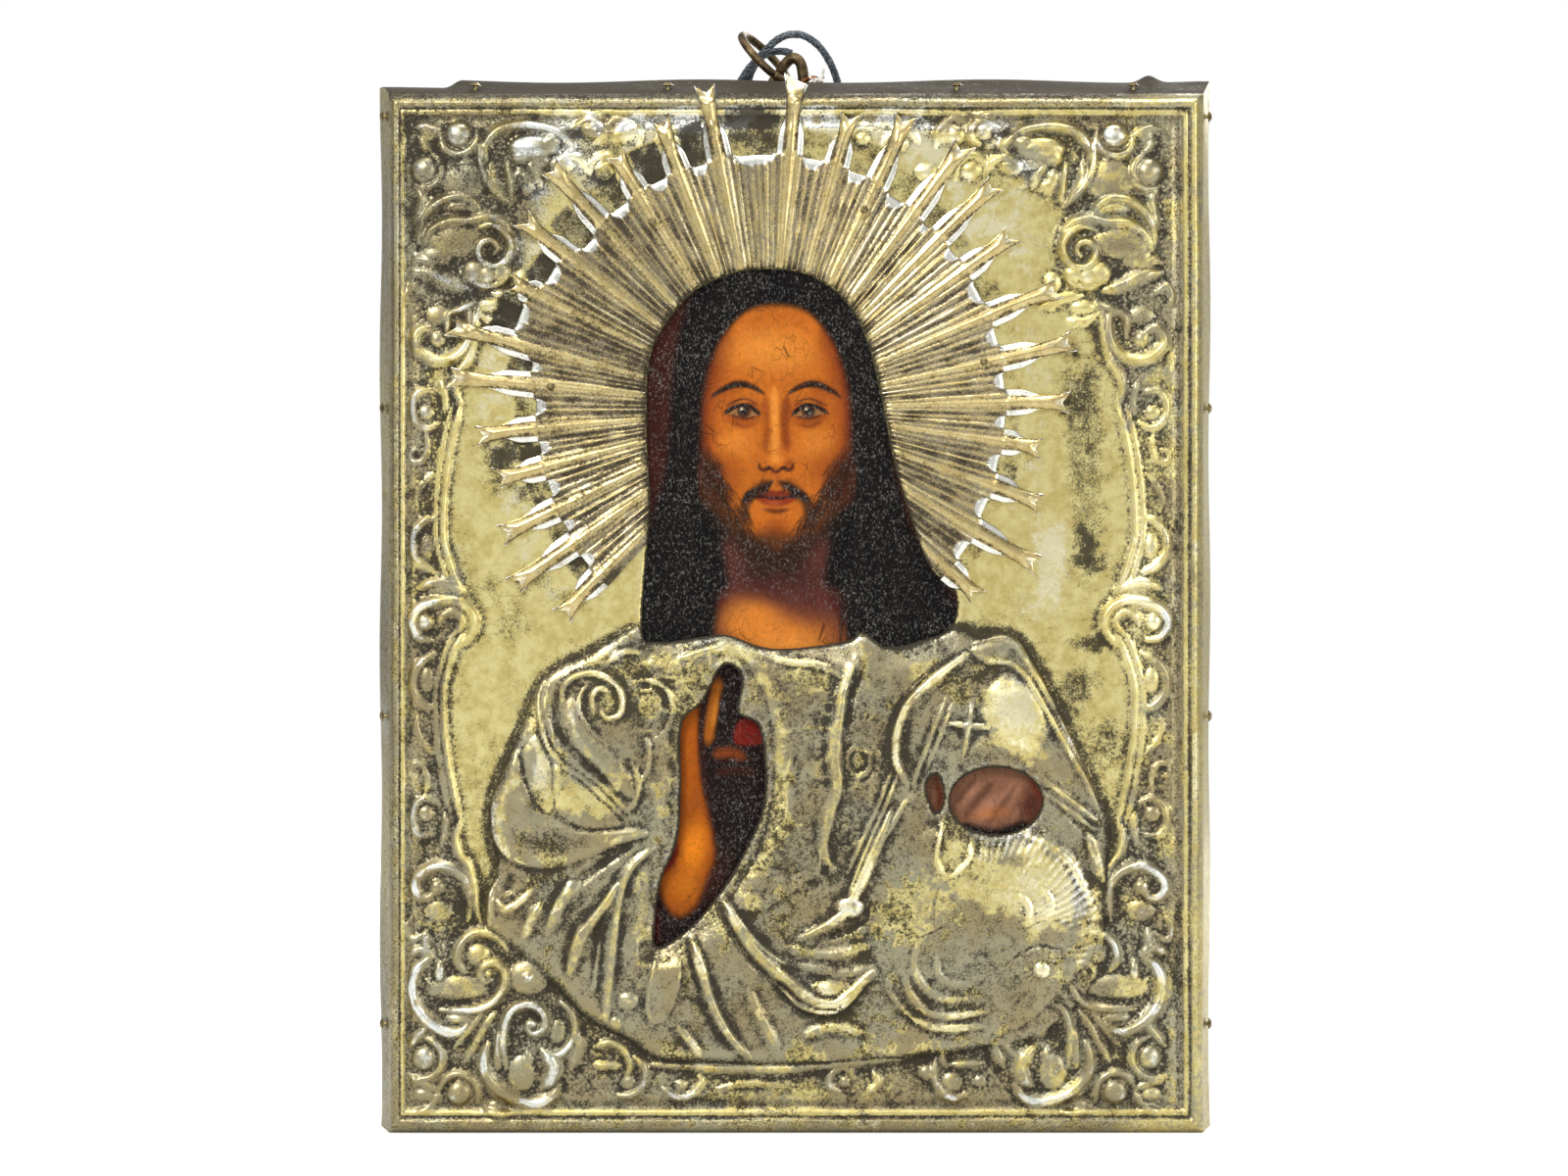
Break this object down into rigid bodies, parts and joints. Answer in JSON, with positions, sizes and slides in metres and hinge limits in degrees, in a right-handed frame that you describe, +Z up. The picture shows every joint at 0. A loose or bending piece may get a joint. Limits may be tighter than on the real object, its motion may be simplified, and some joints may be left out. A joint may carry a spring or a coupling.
{
  "type": "oklad icon cover",
  "caption": "Painted wooden icon in a stamped gilt metal cover with a rayed halo, openings for face and hands, and a ring and cord to hang it.",
  "frame": {"origin": "middle of the plane that its lower edge stands on, under the middle of its box without the cord", "axes": "+Z up the picture, +X to the right of the picture, +Y from the picture to the back of the board"},
  "size_m": [0.1768, 0.0309, 0.2338],
  "materials": {
    "board_wood": "bare aged wood",
    "batten_wood": "bare aged wood",
    "painting": "oil paint on a gesso ground, varnished",
    "gilt_metal": "worn gilding and silvering with dark patina",
    "halo_metal": "worn gilding, bright at the cut edges",
    "nail_metal": "dulled",
    "dark_metal": "dark tarnish, rubbed on the edges",
    "copper_wire": "dull copper",
    "cord_fibre": "slightly shiny twisted plies"
  },
  "bodies": {
    "icon": {"icon_board": "board_wood", "upper_batten": "batten_wood", "lower_batten": "batten_wood", "painted_panel": "painting", "cover_sheet": "gilt_metal", "halo_sheet": "halo_metal", "left_nail_1": "nail_metal", "left_nail_2": "nail_metal", "left_nail_3": "nail_metal", "left_nail_4": "nail_metal", "right_nail_1": "nail_metal", "right_nail_2": "nail_metal", "right_nail_3": "nail_metal", "right_nail_4": "nail_metal", "top_nail_1": "nail_metal", "top_nail_2": "nail_metal", "top_nail_3": "nail_metal", "top_nail_4": "nail_metal", "halo_pin_right_1": "nail_metal", "halo_pin_right_2": "nail_metal", "halo_pin_left_1": "nail_metal", "halo_pin_left_2": "nail_metal", "hanging_staple": "dark_metal", "binding_wire": "copper_wire", "hanging_cord": "cord_fibre", "cord_knot": "cord_fibre"},
    "ring": {"hanging_ring": "dark_metal"}
  },
  "joints": [
    {"name": "ring_swing", "type": "hinge", "parent": "icon", "child": "ring", "pos_m": [-0.00338, 0.00803, 0.2247], "axis": [0.6961, -0.2603, 0.6691], "range_deg": [-60, 8]}
  ]
}
